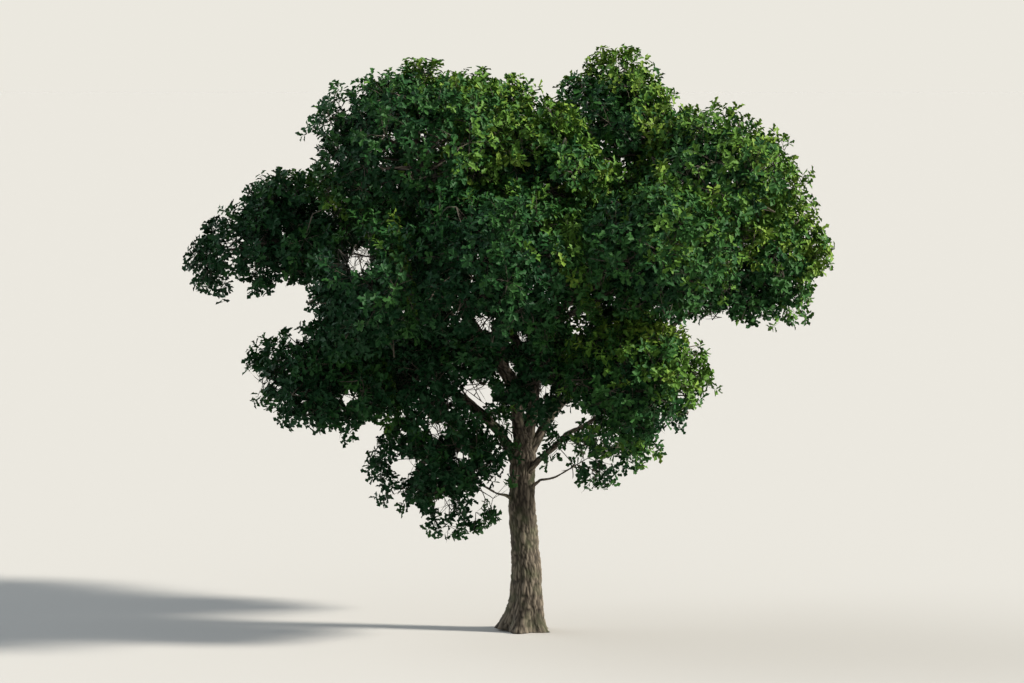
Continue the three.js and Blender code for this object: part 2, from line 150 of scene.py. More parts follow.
# Tufts on the shoots
TUFTS_PER_SQUARE_METRE = 35  # of a mass's mean reach, squared
TUFT_SPREAD = 0.08
TUFT_OPEN_SHARE = 0.46  # a tuft grows only where its space reaches this far to the mass's own edge
TUFT_BACK = (0.28, 0.9)  # how far before the edge of the space a tuft ends
LEADING_TUFTS = 4
LEADING_SPREAD = 0.15
SPARSER_UNDERNEATH = 0.5  # of the tufts straight down from the heart, left out
INNER_TUFTS = 0.28  # of all tufts
INNER_TUFT_BACK = (0.75, 1.3)
INNER_TUFT_LIMIT = 0.6  # of the reach, which makes it less in a small space
HOLLOW_BETWEEN_SHOOTS = 0.29  # of the reach
MOST_BETWEEN = 1.2  # of the usual distance between two shoots
LEADING_FILL = 0.3  # how near the leading shoot the hollows fill up, as one less a cosine
SHARED_BORDER = 0.35  # where the next mass cuts this much off a space
SHARED_SETBACK = 0.2  # its tufts stand back and are hollowed only by this share of the usual
LEAST_TUFT_REACH = 0.15
TUFT_JOINTS = (2, 5)  # from and before this joint of its shoot
TUFT_LEAN = 0.12  # along its shoot
TUFT_BEND = 0.04
TUFT_TWIG = (0.012, 0.004)  # radius at its foot and at its tip

# Twigs, sprays and leaves on a tuft
TWIG_JOINTS = 4
FAN_TWIGS = 5
FAN_LENGTH = (0.24, 0.44)
FAN_UNEVEN = 0.3  # radians
FAN_LIFT = (0.05, 1.3)  # how far a twig rises off the crown's surface
FAN_RISE = np.array([0, 0, 0.12])
FAN_BEND = 0.03
FAN_TWIG = (0.006, 0.003)
SPRAYS_ON_TWIG = 3
SPRAY_LENGTH = (0.12, 0.2)
SIDE_SPRAY_SPREAD = 0.9
END_SPRAY_SPREAD = 0.25
SPRAY_STALK = (0.003, 0.001)
LEAVES_ON_SPRAY = 6
LEAF_LENGTH = (0.11, 0.165)
LEAF_FORWARD = 0.55  # how much a leaf points along its spray, against straight out from it
LEAF_UNEVEN = 0.25
LEAF_FACES_OUT = 0.7
LEAF_FACES_UP = np.array([0, 0, 0.6])
LEAF_TILT = 0.35
LIMB_ROOM = 0.02  # between a leaf's foot and a limb
LIMB_STRETCHES = 12
NEARLY_UPRIGHT = 0.9  # the rise of a direction past which X, not Z, helps to find the directions across it

# Sight lines through the crown and notches in its outline: X and Z in the usual view, and the radius
SKY_HOLES = (
    (-2.93, 6.62, 0.36),
    (-0.83, 4.21, 0.3),
    (-0.3, 4.6, 0.22),
    (0.3, 4.3, 0.22),
    (-0.1, 5.2, 0.2),
    (-0.72, 5.47, 0.2),
    (-1.55, 3.6, 0.2),
    (-1.1, 3.15, 0.17),
    (-2.1, 2.95, 0.25),
    (-1.4, 2.3, 0.22),
    (-0.42, 2.42, 0.26),
    (3.45, 5.28, 0.42),
    (-4.78, 4.4, 0.27),
    (-3.4, 3.38, 0.24),
    (-2.75, 3.45, 0.22),
    (-3.13, 4.2, 0.18),
    (-4.2, 6.0, 0.24),
    (5.42, 6.08, 0.28),
    (4.92, 8.5, 0.3),
    (4.05, 4.95, 0.2),
)

# Each mass: the middle of its space and how far that reaches along X, Y and Z. A dip is how far its left end
# hangs down, in degrees. Ragged is how deeply it is hollowed between its shoots, a sparse mass has this share
# of the usual tufts. Painted light sets a mass's leaves that many tints up, and below zero it is painted
# shade that sets them down.
MASSES = {
    "top_left": {"middle": (-1.9, -1.0, 8.62), "reach": (2.27, 2.4, 1.56), "ragged": 0.18},
    "top_right": {"middle": (1.7, 0.7, 8.77), "reach": (1.58, 1.95, 1.66)},
    "back_top": {"middle": (-0.9, 2.2, 8.6), "reach": (2.0, 2.1, 1.45)},
    "left_outer": {"middle": (-4.15, -0.3, 7.1), "reach": (2.05, 2.0, 1.12), "dip": 28, "ragged": 0.36},
    "right_outer": {"middle": (4.0, 0.75, 6.57), "reach": (1.56, 2.15, 1.72)},
    "right_shoulder": {"middle": (3.3, -0.8, 8.0), "reach": (1.75, 2.0, 1.56)},
    "upper_front": {"middle": (0.45, -1.5, 8.1), "reach": (1.25, 1.45, 1.15)},
    "front_right": {"middle": (2.25, -2.9, 6.85), "reach": (1.7, 1.85, 1.52)},
    "front": {"middle": (-0.5, -2.8, 6.5), "reach": (2.1, 2.05, 1.82), "painted_light_shift": -0.35},
    "front_left": {"middle": (-2.65, -2.7, 6.2), "reach": (1.5, 1.75, 1.45)},
    "back_left": {"middle": (-2.25, 2.55, 6.6), "reach": (2.0, 2.2, 1.76)},
    "back_right": {"middle": (1.55, 3.05, 6.7), "reach": (2.05, 2.05, 1.76)},
    "left_mid": {
        "middle": (-3.38, -0.9, 4.48),
        "reach": (1.65, 1.85, 1.12),
        "dip": -16,
        "ragged": 0.4,
        "painted_light_shift": 0.8,
    },
    "back_low_left": {"middle": (-2.8, 1.75, 4.5), "reach": (1.4, 1.6, 1.05)},
    "back_low_right": {"middle": (1.9, 1.85, 4.6), "reach": (1.32, 1.5, 1.22)},
    "front_right_low": {"middle": (1.95, -1.95, 4.65), "reach": (1.65, 1.6, 1.45), "painted_light_shift": 1.0},
    "inner_left": {"middle": (-1.4, -1.2, 4.75), "reach": (1.35, 1.35, 1.15), "painted_light_shift": -0.8},
    "low_left": {"middle": (-1.4, -0.7, 3.06), "reach": (1.6, 1.3, 1.4), "ragged": 0.3},
    "low_right": {"middle": (1.2, -0.9, 3.22), "reach": (1.15, 0.9, 0.62), "ragged": 0.3, "sparse": 0.4},
    "crown_middle": {"middle": (-0.1, 0.2, 7.8), "reach": (1.9, 1.8, 1.7)},
    "inner_back": {"middle": (-0.1, 1.45, 4.95), "reach": (1.35, 1.2, 1.45), "ragged": 0.3},
    "inner_front": {"middle": (0.3, -1.15, 4.8), "reach": (0.95, 1.0, 1.0), "ragged": 0.36, "painted_light_shift": -0.8},
}
HEARTS = np.array([mass["middle"] for mass in MASSES.values()])
REACHES = np.array([mass["reach"] for mass in MASSES.values()])
DIPS = np.radians([mass.get("dip", 0) for mass in MASSES.values()])
MEAN_REACH = REACHES.mean(axis=1)

# The bough of each mass: what it grows from, how far along that, and its radius at the root
BOUGHS = {
    "top_left": ("trunk", 0.93, 0.128),
    "top_right": ("trunk", 0.96, 0.122),
    "back_top": ("trunk", 0.88, 0.11),
    "left_outer": ("trunk", 0.84, 0.106),
    "right_outer": ("trunk", 0.9, 0.104),
    "right_shoulder": ("top_right", 0.5, 0.07),
    "upper_front": ("top_right", 0.56, 0.052),
    "front_right": ("top_right", 0.34, 0.074),
    "front": ("top_left", 0.22, 0.078),
    "front_left": ("left_outer", 0.3, 0.064),
    "back_left": ("back_top", 0.24, 0.078),
    "back_right": ("back_top", 0.34, 0.074),
    "left_mid": ("left_outer", 0.38, 0.058),
    "back_low_left": ("left_outer", 0.22, 0.052),
    "back_low_right": ("right_outer", 0.28, 0.052),
    "front_right_low": ("trunk", 0.78, 0.072),
    "inner_left": ("left_outer", 0.12, 0.044),
    "low_left": ("trunk", 0.66, 0.05),
    "low_right": ("trunk", 0.72, 0.038),
    "crown_middle": ("back_top", 0.55, 0.048),
    "inner_back": ("trunk", 0.82, 0.046),
    "inner_front": ("trunk", 0.9, 0.042),
}

# Colours of the bark and the twigs
# the bark in the fissures is darkened to near black as painted shade
PAINTED_FISSURE_SHADE = (0.014, 0.011, 0.008, 1)
PLATE_COLOUR = (0.15, 0.125, 0.095, 1)
MOSS_COLOUR = (0.06, 0.075, 0.035, 1)
TWIG_COLOUR = (0.07, 0.058, 0.042, 1)

# Leaf tints, painted light and shade from the shaded inside of the crown to its sunlit rim
LEAF_TINTS = {
    "leaf_deep": (0.008, 0.038, 0.012, 1),
    "leaf_shade": (0.015, 0.060, 0.015, 1),
    "leaf_green": (0.024, 0.080, 0.016, 1),
    "leaf_light": (0.068, 0.148, 0.020, 1),
    "leaf_sunlit": (0.132, 0.216, 0.030, 1),
}
SUN_SIDE = np.array([0.7, 0.28, 0.66])
MIDDLE_TINT = 2.1  # in tints up from the deepest one, and all that follow are in tints too
SIDE_LIGHT = 1.2  # more on the crown's sunlit side
FACING_LIGHT = 0.9  # more where a tuft faces the sun
LUMP_LIGHT = 1.8  # more on the sunlit side of its own shoot
DEPTH_SHADE = 1.2  # less deep in the mass
TUFT_VARIETY = 0.4
SPRAY_VARIETY = 0.45


def unit(vectors):
    return vectors / np.linalg.norm(vectors, axis=-1, keepdims=True)


# Spaces: an ellipsoid for each mass, shared out where two of them meet
def outside(points):
    """About how far each point lies outside each mass's own ellipsoid, in one column for each mass."""
    off = points[..., None, :] - HEARTS
    cosine, sine = np.cos(DIPS), np.sin(DIPS)
    along = (off[..., 0] * cosine + off[..., 2] * sine) / REACHES[:, 0]
    across = off[..., 1] / REACHES[:, 1]
    up = (off[..., 2] * cosine - off[..., 0] * sine) / REACHES[:, 2]
    return (np.sqrt(along**2 + across**2 + up**2) - 1) * MEAN_REACH


def in_space(number, points, past=0):
    """True for the points that are nearer to this mass than to any other, or at most so far past that border,
    and that lie within its ellipsoid or in the groove between it and the next ones."""
    far = outside(points)
    own = far[..., number]
    ahead = np.delete(far, number, axis=-1) - own[..., None]
    shared = 1 + np.exp(-np.maximum(ahead, 0) / GROOVE_FILL).sum(axis=-1)
    return (own <= GROOVE_FILL * np.log(shared)) & (ahead.min(axis=-1) >= SPACE_BETWEEN - past)


def reach_towards(number, directions):
    """How far a space reaches from its heart, and what share that is of its whole ellipsoid."""
    steps = np.arange(1, REACH_STEPS + 1) * REACH_STEP
    points = HEARTS[number] + directions[:, None, :] * steps[:, None]
    mean_reach = MEAN_REACH[number]
    whole = mean_reach / (mean_reach + outside(HEARTS[number] + directions)[..., number])
    reach = np.logical_and.accumulate(in_space(number, points), axis=1).sum(axis=1) * REACH_STEP
    return reach, np.minimum(1, reach / whole)


def directions_round(axis, count):
    """Even directions all round an axis by the golden angle, the first one along it."""
    step = np.arange(count)
    height = 1 - 2 * (step + 0.5) / count
    width = np.sqrt(1 - height**2)
    angle = step * GOLDEN_ANGLE
    spread = np.stack([width * np.cos(angle), width * np.sin(angle), height], axis=1)
    turn = Vector((0, 0, 1)).rotation_difference(Vector(axis)).to_matrix()
    return spread @ np.array(turn).T


def leading_direction(number):
    """To the furthest point of a space on that side of the crown where its mass lies. Only the third of all
    directions that lie nearest to that side is looked at."""
    off = (HEARTS[number] - CROWN_MIDDLE) / CROWN_HALF
    side = np.abs(off).argmax()
    outward = np.eye(3)[side] * np.sign(off[side])
    ways = directions_round(outward, SEARCH)[: SEARCH // 3]
    reach, _ = reach_towards(number, ways)
    return ways[(reach * (ways @ outward)).argmax()]


# Limbs
class Limb:
    """A line of evenly spaced points, and the limb's radius along it."""

    def __init__(self, line, radius_at):
        steps = np.linalg.norm(np.diff(line, axis=0), axis=1)
        length = np.concatenate([[0], np.cumsum(steps)])
        self.length = length[-1]
        self.shares = np.linspace(0, 1, len(line))
        even = self.shares * self.length
        self.line = np.stack([np.interp(even, length, line[:, i]) for i in range(3)], axis=1)
        self.radius_at = radius_at

    def at(self, share):
        return np.array([np.interp(share, self.shares, self.line[:, i]) for i in range(3)])

    def tangent(self, share):
        low, high = max(share - TANGENT_STEP, 0), min(share + TANGENT_STEP, 1)
        return unit(self.at(high) - self.at(low))


def trunk_radius(height, angle):
    taper = TRUNK_RADIUS + (FORK_RADIUS - TRUNK_RADIUS) * height / FORK_HEIGHT
    lobes = 1 + ROOT_LOBE_DEPTH * math.cos(ROOT_LOBES * angle + ROOT_LOBE_TURN)
    ripple = 1 + RIPPLE_DEPTH * math.sin(RIPPLES_ROUND * angle + height / RIPPLE_RISE)
    return taper * ripple + FLARE * lobes * math.exp(-height / FLARE_HEIGHT)


def trunk_limb():
    share = np.linspace(0, 1, TRUNK_POINTS)
    sway = TRUNK_SWAY * np.sin(2 * math.pi * share)
    line = np.stack([sway, -sway / 2, share * FORK_HEIGHT], axis=1)
    return Limb(line, lambda share: trunk_radius(share * FORK_HEIGHT, 0))


def crooked_line(ends, onward, inward, number):
    """A smooth curve between two ends, with some bends laid over it that keep both ends."""
    start, entry = ends
    span = np.linalg.norm(entry - start)
    t = np.linspace(0, 1, BOUGH_POINTS)[:, None]
    controls = (start, start + onward * span * ROOT_LEVER, entry - inward * span * ENTRY_LEVER, entry)
    weights = ((1 - t) ** 3, 3 * t * (1 - t) ** 2, 3 * t**2 * (1 - t), t**3)
    smooth = sum(weight * point for weight, point in zip(weights, controls))
    phase = CROOK_PHASE * number
    level = phase + LEVEL_BENDS * t
    upright = UPRIGHT_PHASE * phase - UPRIGHT_BENDS * t
    crook = np.concatenate([np.sin(level), np.cos(level), UPRIGHT_CROOK * np.sin(upright)], axis=1)
    return smooth + crook * CROOK * span * np.sin(math.pi * t) ** 2


def bough_limb(number, name, limbs):
    """The bough of a mass, from inside its parent to where it enters the mass."""
    parent_name, along, root_radius = BOUGHS[name]
    parent = limbs[parent_name]
    start = parent.at(along)
    back = unit(start - HEARTS[number])
    reach, _ = reach_towards(number, back[None])
    entry = HEARTS[number] + back * reach[0] * ENTRY_SHARE
    onward = unit(parent.tangent(along) * FOLLOW_PARENT - back)
    parent_radius = parent.radius_at(along)
    span = np.linalg.norm(entry - start)
    collar = min(COLLAR, ROOT_LIMIT * parent_radius / root_radius - 1)

    def radius_at(share):
        taper = root_radius * (1 - (1 - TIP_SHARE) * share)
        return taper * (1 + collar * math.exp(-((share * span / parent_radius / COLLAR_LENGTH) ** 2)))

    return Limb(crooked_line((start, entry), onward, -back, number), radius_at)


def all_limbs():
    limbs = {"trunk": trunk_limb()}
    for number, name in enumerate(MASSES):
        limbs[name] = bough_limb(number, name, limbs)
    return limbs


# Pieces
def finished_piece(name, bm, materials):
    mesh = bpy.data.meshes.new(name)
    bmesh.ops.recalc_face_normals(bm, faces=bm.faces)
    for face in bm.faces:
        face.smooth = True
    bm.to_mesh(mesh)
    bm.free()
    return placed_piece(name, mesh, materials)


def placed_piece(name, mesh, materials):
    for finish in materials:
        mesh.materials.append(finish)
    piece = bpy.data.objects.new(name, mesh)
    bpy.context.scene.collection.objects.link(piece)
    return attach(piece, "root")


# Bark on the trunk and the boughs
def bark_plate(point, girth, along):
    """0 in a fissure and 1 on a plate of bark, for a place round the girth and along the limb."""
    x, y, z = girth[0] / PLATE_WIDTH, girth[1] / PLATE_WIDTH, along / PLATE_LENGTH
    bend = noise.noise(point * WANDERS_PER_METRE) * PLATE_WANDER
    spread, _ = noise.voronoi(Vector((x + bend, y - bend, z + bend)))
    return min(1.0, (spread[1] - spread[0]) / FISSURE_WIDTH)


def bark_tube(sides, rings):
    """A tube of radius 1 with closed ends, from z 0 to 1, with even rings."""
    bm = bmesh.new()
    raised = Matrix.Translation((0, 0, 0.5))
    size = {"segments": sides, "radius1": 1, "radius2": 1, "depth": 1}
    bmesh.ops.create_cone(bm, cap_ends=True, cap_tris=True, matrix=raised, **size)
    long_edges = [e for e in bm.edges if abs(e.verts[0].co.z - e.verts[1].co.z) > 0.5]
    bmesh.ops.subdivide_edges(bm, edges=long_edges, cuts=rings - 1, use_grid_fill=True)
    return bm


def limb_frames(limb, count):
    """Middle points along a limb and two directions across it at each, carried along without twist."""
    middles = [Vector(limb.at(i / count)) for i in range(count + 1)]
    tangents = [Vector(limb.tangent(i / count)) for i in range(count + 1)]
    across = tangents[0].orthogonal().normalized()
    frames = []
    for i, tangent in enumerate(tangents):
        if i:
            across = tangents[i - 1].rotation_difference(tangent) @ across
        across = (across - tangent * across.dot(tangent)).normalized()
        frames.append((middles[i], across, tangent.cross(across)))
    return frames


def bark_piece(name, limb, sides, radius_round, relief):
    """A limb's own mesh, with the relief of its bark cut into the surface."""
    rings = max(FEWEST_RINGS, round(RINGS_PER_METRE * limb.length / max(LEAST_RING_RELIEF, relief)))
    frames = limb_frames(limb, rings)
    bm = bark_tube(sides, rings)
    plates = bm.verts.layers.float.new("plate")
    for vert in bm.verts:
        share = vert.co.z
        angle = math.atan2(vert.co.y, vert.co.x)
        on_axis = math.hypot(vert.co.x, vert.co.y) < 0.5
        middle, across, up = frames[round(share * rings)]
        radius = radius_round(share, angle)
        girth = (radius * math.cos(angle), radius * math.sin(angle))
        place = middle + across * girth[0] + up * girth[1]
        plate = bark_plate(place, girth, share * limb.length)
        swell = noise.noise(place * SWELLS_PER_METRE) * SWELL * radius
        depth = FISSURE_DEPTH * relief * (plate - 1)
        out = 0 if on_axis else radius + swell + depth
        vert.co = middle + across * (out * math.cos(angle)) + up * (out * math.sin(angle))
        vert[plates] = plate
    return finished_piece(name, bm, [material("bark")])


def trunk_piece(limb):
    def radius_round(share, angle):
        near_top = max(0.0, (share - (1 - TRUNK_TOP_SHARE)) / TRUNK_TOP_SHARE)
        rounding = 1 - TRUNK_TOP_LOSS * near_top**2
        return trunk_radius(share * FORK_HEIGHT, angle) * rounding

    piece = bark_piece("trunk_bark", limb, TRUNK_SIDES, radius_round, 1)
    for vert in piece.data.vertices:
        vert.co.z = max(vert.co.z, 0)
    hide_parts("trunk")


def bough_piece(name, limb):
    root_radius = BOUGHS[name][2]

    def radius_round(share, angle):
        return limb.radius_at(share) * (1 + BOUGH_OVAL * math.sin(2 * angle + OVAL_TWIST * share))

    sides = round(LEAST_BOUGH_SIDES + SIDES_PER_RADIUS * root_radius)
    relief = min(MOST_BOUGH_RELIEF, RELIEF_PER_RADIUS * root_radius)
    piece = bark_piece("bark_" + name, limb, sides, radius_round, relief)
    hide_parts("bough_" + name)


# Twigs and leaves as points and triangles
def mesh_of(name, points, triangles):
    """A joined mesh straight from arrays of points and triangles."""
    mesh = bpy.data.meshes.new(name)
    mesh.vertices.add(len(points))
    mesh.vertices.foreach_set("co", points.astype(np.float32).ravel())
    mesh.loops.add(triangles.size)
    mesh.loops.foreach_set("vertex_index", triangles.astype(np.int32).ravel())
    mesh.polygons.add(len(triangles))
    mesh.polygons.foreach_set("loop_start", np.arange(0, triangles.size, 3, dtype=np.int32))
    mesh.update(calc_edges=True)
    return mesh


def joined(parts):
    """Several sets of points and triangles as one."""
    points, triangles, start = [], [], 0
    for some_points, some_triangles in parts:
        points.append(some_points)
        triangles.append(some_triangles + start)
        start += len(some_points)
    return np.concatenate(points), np.concatenate(triangles)


def sides_across(directions):
    """Two directions across each given one."""
    upright = np.abs(directions[:, 2:]) > NEARLY_UPRIGHT
    helper = np.where(upright, [[1.0, 0, 0]], [[0, 0, 1.0]])
    first = unit(np.cross(directions, helper))
    return first, np.cross(directions, first)


def turned_about(directions, turns):
    """A direction across each given one, turned about it by so many radians."""
    first, second = sides_across(directions)
    return first * np.cos(turns)[:, None] + second * np.sin(turns)[:, None]


def bent_lines(starts, ends, bends, joints):
    """Curves from starts to ends that lean towards bends in between."""
    t = np.linspace(0, 1, joints)[None, :, None]
    middle = (starts + ends) / 2 + bends
    return starts[:, None] * (1 - t) ** 2 + 2 * middle[:, None] * t * (1 - t) + ends[:, None] * t**2


def tapered_twigs(lines, thick, thin, sides=3):
    """Closed tapering twigs along lines of the same number of points, as points and triangles."""
    count, joints = lines.shape[:2]
    first, second = sides_across(unit(lines[:, -1] - lines[:, 0]))
    turn = np.arange(sides) * 2 * math.pi / sides
    ring = first[:, None] * np.cos(turn)[:, None] + second[:, None] * np.sin(turn)[:, None]
    radii = np.linspace(1, 0, joints)[:, None] * (np.asarray(thick) - thin) + thin
    radii = np.broadcast_to(radii.T, (count, joints))
    rings = lines[:, :-1, None, :] + ring[:, None] * radii[:, :-1, None, None]
    points = np.concatenate([rings.reshape(count, -1, 3), lines[:, -1:]], axis=1)
    tip = (joints - 1) * sides
    last = tip - sides
    triangles = []
    for side in range(sides):
        after = (side + 1) % sides
        for low in range(0, last, sides):
            high = low + sides
            triangles += [[low + side, low + after, high + after], [low + side, high + after, high + side]]
        triangles.append([last + side, last + after, tip])
    triangles += [[0, side + 1, side] for side in range(1, sides - 1)]
    starts = np.arange(count)[:, None, None] * points.shape[1]
    return points.reshape(-1, 3), (starts + np.array(triangles)).reshape(-1, 3)


# One leaf, as length along, half-width, and lift: its foot and tip, then two lobes with a notch between them
LEAF_OUTLINE = np.array(
    [
        (0, 0, 0),
        (1, 0, -0.1),
        (0.3, 0.2, 0.07),
        (0.47, 0.13, 0.05),
        (0.72, 0.29, 0.08),
        (0.3, -0.2, 0.07),
        (0.47, -0.13, 0.05),
        (0.72, -0.29, 0.08),
    ]
)
LEAF_FACES = np.array([(0, 3, 2), (0, 1, 3), (3, 1, 4), (0, 5, 6), (0, 6, 1), (6, 7, 1)])


def leaf_blades(feet, ways, faces_to, lengths):
    across = unit(np.cross(faces_to, ways))
    up = np.cross(ways, across)
    basis = np.stack([ways, across, up], axis=1) * lengths[:, None, None]
    points = feet[:, None] + np.einsum("pk,nkx->npx", LEAF_OUTLINE, basis)
    starts = np.arange(len(feet))[:, None, None] * len(LEAF_OUTLINE)
    return points.reshape(-1, 3), (starts + LEAF_FACES).reshape(-1, 3)


# Where leaves may be
def limb_stretches(limbs):
    """Every limb as short straight stretches: the foot, the tip and the thicker radius of each."""
    stretches = []
    shares = np.linspace(0, 1, LIMB_STRETCHES + 1)
    for limb in limbs.values():
        nodes = [limb.at(share) for share in shares]
        radii = [limb.radius_at(share) for share in shares[:-1]]
        stretches += zip(nodes[:-1], nodes[1:], radii)
    return stretches


def clear_of_limbs(points, stretches):
    clear = np.ones(len(points), bool)
    for foot, tip, radius in stretches:
        along = tip - foot
        share = np.clip((points - foot) @ along / (along @ along), 0, 1)
        gap = np.linalg.norm(points - foot - share[:, None] * along, axis=1)
        clear &= gap > radius + LIMB_ROOM
    return clear


def off_sky_holes(points):
    """True for the points that don't stand in one of the small sight lines through the crown."""
    seen_height = points[:, 2] + points[:, 1] * math.tan(CAMERA_RISE)
    keep = np.ones(len(points), bool)
    for x, z, radius in SKY_HOLES:
        keep &= np.hypot(points[:, 0] - x, seen_height - z) > radius
    return keep


class Growth:
    """One mass as it grows. A stem runs to the heart and shoots leave it by the golden angle. They bear tufts
    near the edge of the space, and a tuft is a fan of twigs with leafy sprays."""

    def __init__(self, number, name, bough):
        self.number = number
        self.habit = MASSES[name]
        self.draw = np.random.default_rng(FIRST_SEED + SEED_STEP * number)
        self.heart = HEARTS[number]
        self.entry = bough.at(1)
        self.inward = unit(self.heart - self.entry)
        self.stem_radius = bough.radius_at(1)
        self.twigs = []
        self.grow_stem()
        self.grow_shoots()
        self.grow_tufts()
        self.grow_fans()
        self.grow_sprays()

    def grow_stem(self):
        stem = bent_lines(self.entry[None], self.heart[None], np.zeros((1, 3)), TWIG_JOINTS)
        tip_radius = self.stem_radius * (1 - STEM_TAPER)
        self.twigs.append(tapered_twigs(stem, self.stem_radius, tip_radius, STEM_SIDES))

    def grow_shoots(self):
        """Shoots all round the heart, the leading one first. The further forward, the later on the stem."""
        self.shoot_count = round(SHOOTS_PER_METRE * MEAN_REACH[self.number])
        self.leading = leading_direction(self.number)
        self.shoot_ways = np.vstack([self.leading, directions_round(self.inward, self.shoot_count)])
        reach, _ = reach_towards(self.number, self.shoot_ways)
        forward = (1 + self.shoot_ways @ self.inward) / 2
        feet = self.entry + (self.heart - self.entry) * (SHOOT_FOOT + SHOOT_FEET * forward)[:, None]
        tips = self.heart + self.shoot_ways * (reach * SHOOT_SHARE)[:, None]
        bends = self.draw.normal(0, SHOOT_BEND, feet.shape)
        self.shoots = bent_lines(feet, tips, bends, SHOOT_JOINTS)
        root_radius = self.stem_radius * SHOOT_ROOT
        self.twigs.append(tapered_twigs(self.shoots, root_radius, SHOOT_TIP, SHOOT_SIDES))

    def grow_tufts(self):
        """Tufts all round, each at the end of a twig from the shoot nearest to it."""
        density = TUFTS_PER_SQUARE_METRE * self.habit.get("sparse", 1)
        ways = directions_round(self.inward, round(density * MEAN_REACH[self.number] ** 2))
        leading_ways = self.leading + self.draw.normal(0, LEADING_SPREAD, (LEADING_TUFTS, 3))
        ways = unit(np.vstack([leading_ways, ways + self.draw.normal(0, TUFT_SPREAD, ways.shape)]))
        reach, share = reach_towards(self.number, ways)
        underneath = SPARSER_UNDERNEATH * np.maximum(0, -ways[:, 2])
        grows = (share > TUFT_OPEN_SHARE) & (self.draw.random(len(reach)) > underneath)
        ways, reach, share = ways[grows], reach[grows], share[grows]
        nearness = ways @ self.shoot_ways.T
        carrier = nearness.argmax(axis=1)
        fullness = self.draw.uniform(*SHOOT_FULLNESS, len(self.shoot_ways))
        fullness[0] = 1
        reach = reach * fullness[carrier]
        back, hollow = self.set_back(ways, nearness.max(axis=1), reach, share)
        self.depth = back + hollow
        self.tufts = self.heart + ways * np.maximum(reach - back - hollow, LEAST_TUFT_REACH)[:, None]
        self.tuft_ways = ways
        self.carrier_ways = self.shoot_ways[carrier]
        feet = self.shoots[carrier, self.draw.integers(*TUFT_JOINTS, len(ways))]
        bends = unit(self.carrier_ways) * TUFT_LEAN + self.draw.normal(0, TUFT_BEND, ways.shape)
        self.twigs.append(tapered_twigs(bent_lines(feet, self.tufts, bends, TWIG_JOINTS), *TUFT_TWIG))

    def set_back(self, ways, nearness, reach, share):
        """How far before its space's edge each tuft ends, and how far more in a hollow between shoots."""
        count = len(ways)
        back = self.draw.uniform(*TUFT_BACK, count) * np.minimum(1, reach)
        inner = self.draw.random(count) < INNER_TUFTS * (np.arange(count) >= LEADING_TUFTS)
        inner_back = self.draw.uniform(*INNER_TUFT_BACK, count) * np.minimum(1, reach * INNER_TUFT_LIMIT)
        back[inner] = inner_back[inner]
        between = np.minimum((1 - nearness) * self.shoot_count / 2, MOST_BETWEEN)
        hollow = self.habit.get("ragged", HOLLOW_BETWEEN_SHOOTS) * between * reach
        hollow *= np.clip((1 - ways @ self.leading) / LEADING_FILL, 0, 1)
        cut_off = reach / share - reach
        setback = np.interp(cut_off, (0, SHARED_BORDER), (1, SHARED_SETBACK))
        return back * setback, hollow * setback

    def grow_fans(self):
        """A fan of twigs out of each tuft."""
        count = len(self.tufts)
        self.tuft_of = np.repeat(np.arange(count), FAN_TWIGS)
        self.outward = self.tuft_ways[self.tuft_of]
        turns = np.tile(np.arange(FAN_TWIGS), count) * 2 * math.pi / FAN_TWIGS
        turns = turns + np.repeat(self.draw.uniform(0, 2 * math.pi, count), FAN_TWIGS)
        turns = turns + self.draw.normal(0, FAN_UNEVEN, len(turns))
        lift = self.draw.uniform(*FAN_LIFT, len(turns))[:, None]
        self.fan_ways = unit(turned_about(self.outward, turns) + self.outward * lift + FAN_RISE)
        feet = self.tufts[self.tuft_of]
        tips = feet + self.fan_ways * self.draw.uniform(*FAN_LENGTH, len(turns))[:, None]
        self.fans = bent_lines(feet, tips, self.outward * FAN_BEND, TWIG_JOINTS)

    def grow_sprays(self):
        """Sprays along each twig of a fan and at its end, where there is room for them."""
        fan_of = np.repeat(np.arange(len(self.fans)), SPRAYS_ON_TWIG)
        joint = np.tile(np.arange(1, SPRAYS_ON_TWIG + 1), len(self.fans))
        turns = joint * GOLDEN_ANGLE + self.draw.uniform(0, 2 * math.pi, len(joint))
        spread = np.where(joint == SPRAYS_ON_TWIG, END_SPRAY_SPREAD, SIDE_SPRAY_SPREAD)[:, None]
        ways = unit(self.fan_ways[fan_of] + turned_about(self.fan_ways[fan_of], turns) * spread)
        feet = self.fans[fan_of, joint]
        tips = feet + ways * self.draw.uniform(*SPRAY_LENGTH, len(joint))[:, None]
        kept = in_space(self.number, tips, LEAF_OVERLAP) & off_sky_holes(tips)
        self.spray_feet, self.spray_tips = feet[kept], tips[kept]
        self.spray_ways, self.fan_of = ways[kept], fan_of[kept]
        bearing = self.fans[np.unique(self.fan_of)]
        stalks = np.stack([self.spray_feet, self.spray_tips], axis=1)
        self.twigs.append(tapered_twigs(bearing[:, [0, 2, 3]], *FAN_TWIG))
        self.twigs.append(tapered_twigs(stalks, *SPRAY_STALK))

